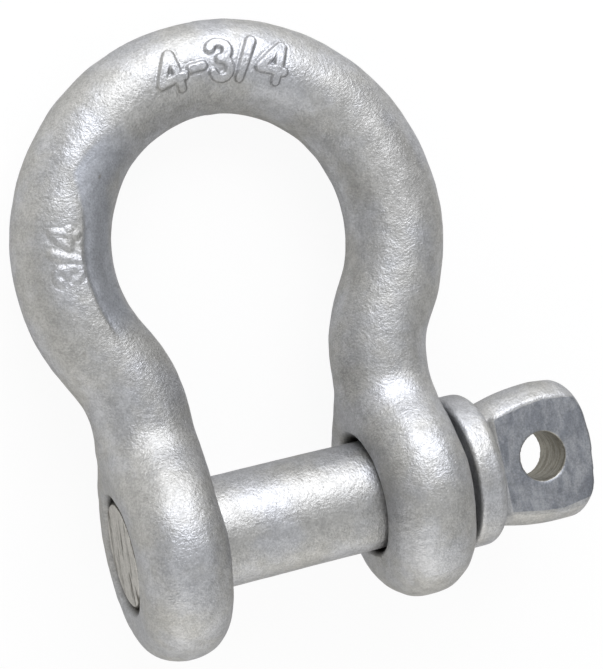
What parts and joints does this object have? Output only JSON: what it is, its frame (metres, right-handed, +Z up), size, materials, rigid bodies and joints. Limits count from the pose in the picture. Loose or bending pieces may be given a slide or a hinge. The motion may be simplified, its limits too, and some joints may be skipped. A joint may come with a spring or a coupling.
{
  "type": "screw pin anchor shackle",
  "caption": "Bowed round steel bar with a thick pierced ear at each end, closed by a screw pin with a collar and a flat pierced head.",
  "frame": {"origin": "on the ground under the middle of the whole shackle, pin done up", "axes": "+X along the pin towards its head, +Y from the pin to the crown, +Z up. The shackle lies on its back, so its own plane is tipped 8.5 degrees about X, crown down."},
  "size_m": [0.1112, 0.1214, 0.0452],
  "materials": {
    "galvanised_bow": "hot-dip galvanised, fine orange peel",
    "galvanised_pin": "hot-dip galvanised, smoother, darker flats on the head"
  },
  "bodies": {
    "bow": {"bow": "galvanised_bow"},
    "screw_pin": {"screw_pin": "galvanised_pin"}
  },
  "joints": [
    {"name": "pin_slide", "type": "slide", "parent": "bow", "child": "screw_pin", "axis": [1, 0, 0], "range_m": [0, 0.085]}
  ]
}
